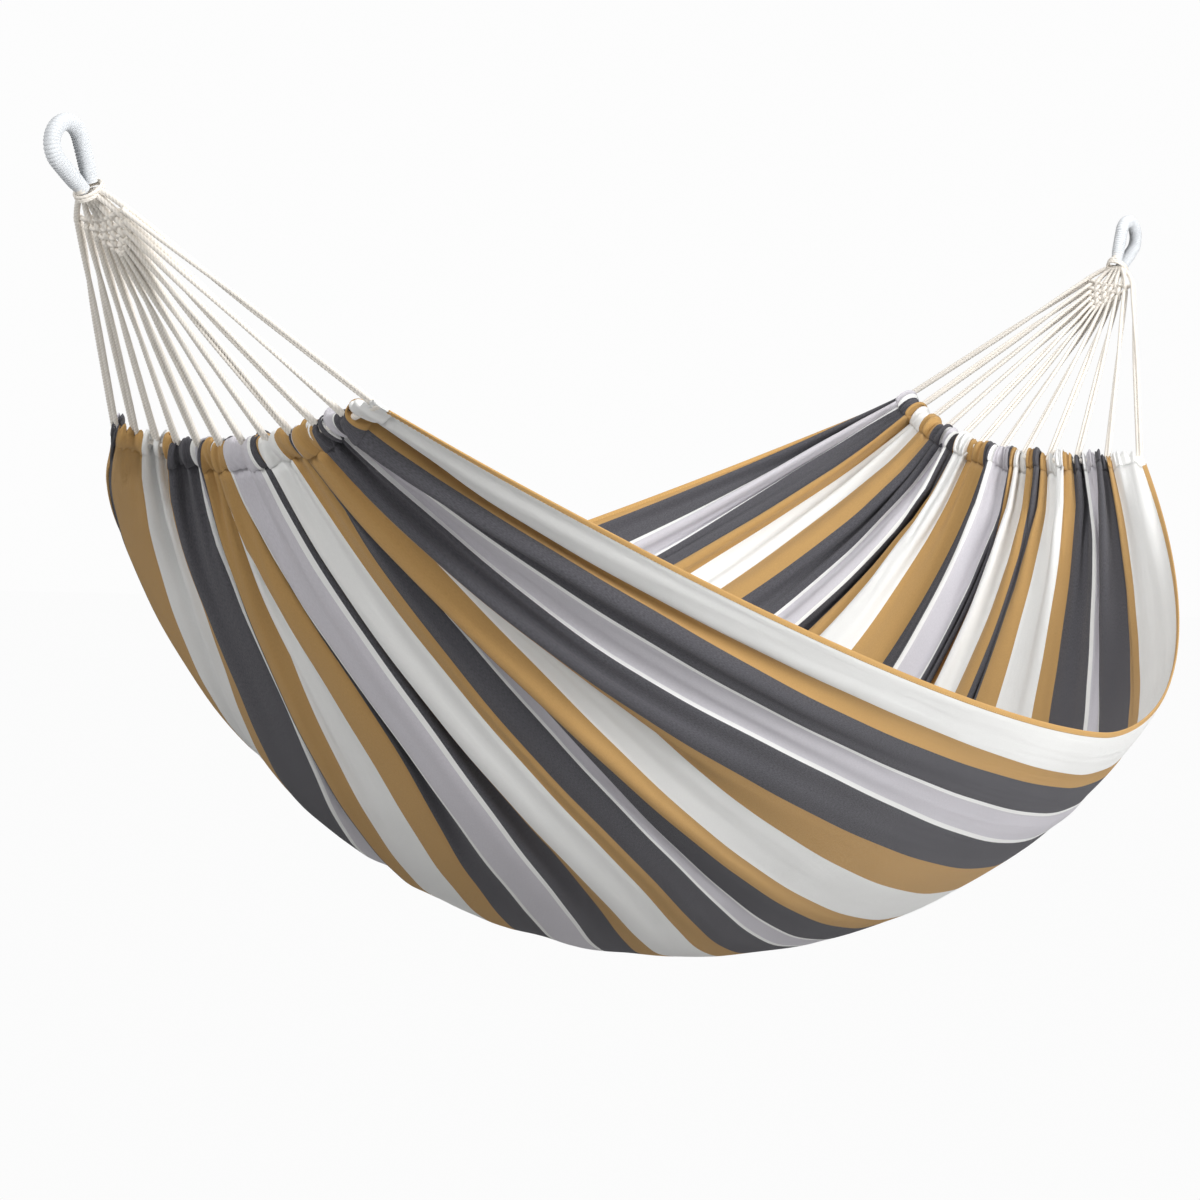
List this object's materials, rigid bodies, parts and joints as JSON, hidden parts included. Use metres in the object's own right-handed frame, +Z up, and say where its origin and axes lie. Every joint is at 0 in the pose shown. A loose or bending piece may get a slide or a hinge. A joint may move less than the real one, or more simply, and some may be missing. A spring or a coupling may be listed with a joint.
{
  "type": "hammock",
  "caption": "Double cloth hammock: a striped sheet gathered on sewn sleeves at both ends, hung by fans of doubled cords from woven clews and served eye loops.",
  "frame": {"origin": "inside of the left eye's crown, where its hook bears", "axes": "+X level from the left eye's hook to the right eye's hook, -Y to the near side, +Z up"},
  "size_m": [2.5796, 1.3387, 1.0429],
  "materials": {
    "white_serving": "matte",
    "striped_sheet": "matte",
    "striped_sleeve": "matte",
    "tan_hem": "matte",
    "cream_whipping": "matte",
    "cream_clew": "matte",
    "cream_cord": "matte"
  },
  "bodies": {
    "left_eye": {"left_eye_core": "cream_cord", "left_eye_serving": "white_serving", "left_collar": "cream_whipping"},
    "bed": {"sheet": "striped_sheet", "near_hem": "tan_hem", "far_hem": "tan_hem", "left_neck_bundle": "cream_cord", "left_clew": "cream_clew", "left_clew_tie": "cream_clew", "left_edge_cord": "cream_cord", "left_sleeve": "striped_sleeve", "left_cord_01": "cream_cord", "left_cord_02": "cream_cord", "left_cord_03": "cream_cord", "left_cord_04": "cream_cord", "left_cord_05": "cream_cord", "left_cord_06": "cream_cord", "left_cord_07": "cream_cord", "left_cord_08": "cream_cord", "left_cord_09": "cream_cord", "left_cord_10": "cream_cord", "left_cord_11": "cream_cord", "left_cord_12": "cream_cord", "right_neck_bundle": "cream_cord", "right_clew": "cream_clew", "right_clew_tie": "cream_clew", "right_edge_cord": "cream_cord", "right_sleeve": "striped_sleeve", "right_cord_01": "cream_cord", "right_cord_02": "cream_cord", "right_cord_03": "cream_cord", "right_cord_04": "cream_cord", "right_cord_05": "cream_cord", "right_cord_06": "cream_cord", "right_cord_07": "cream_cord", "right_cord_08": "cream_cord", "right_cord_09": "cream_cord", "right_cord_10": "cream_cord", "right_cord_11": "cream_cord", "right_cord_12": "cream_cord"},
    "right_eye": {"right_eye_core": "cream_cord", "right_eye_serving": "white_serving", "right_collar": "cream_whipping"}
  },
  "joints": [
    {"name": "bed_swing", "type": "hinge", "parent": "left_eye", "child": "bed", "pos_m": [0.04986, 0, -0.06617], "axis": [1, 0, 0], "range_deg": [-30, 30]},
    {"name": "right_eye_turn", "type": "hinge", "parent": "bed", "child": "right_eye", "pos_m": [2.48014, 0, -0.06617], "axis": [1, 0, 0], "range_deg": [-30, 30]}
  ],
  "couplings": [
    {"joint": "right_eye_turn", "follows": "bed_swing", "ratio": -1}
  ]
}
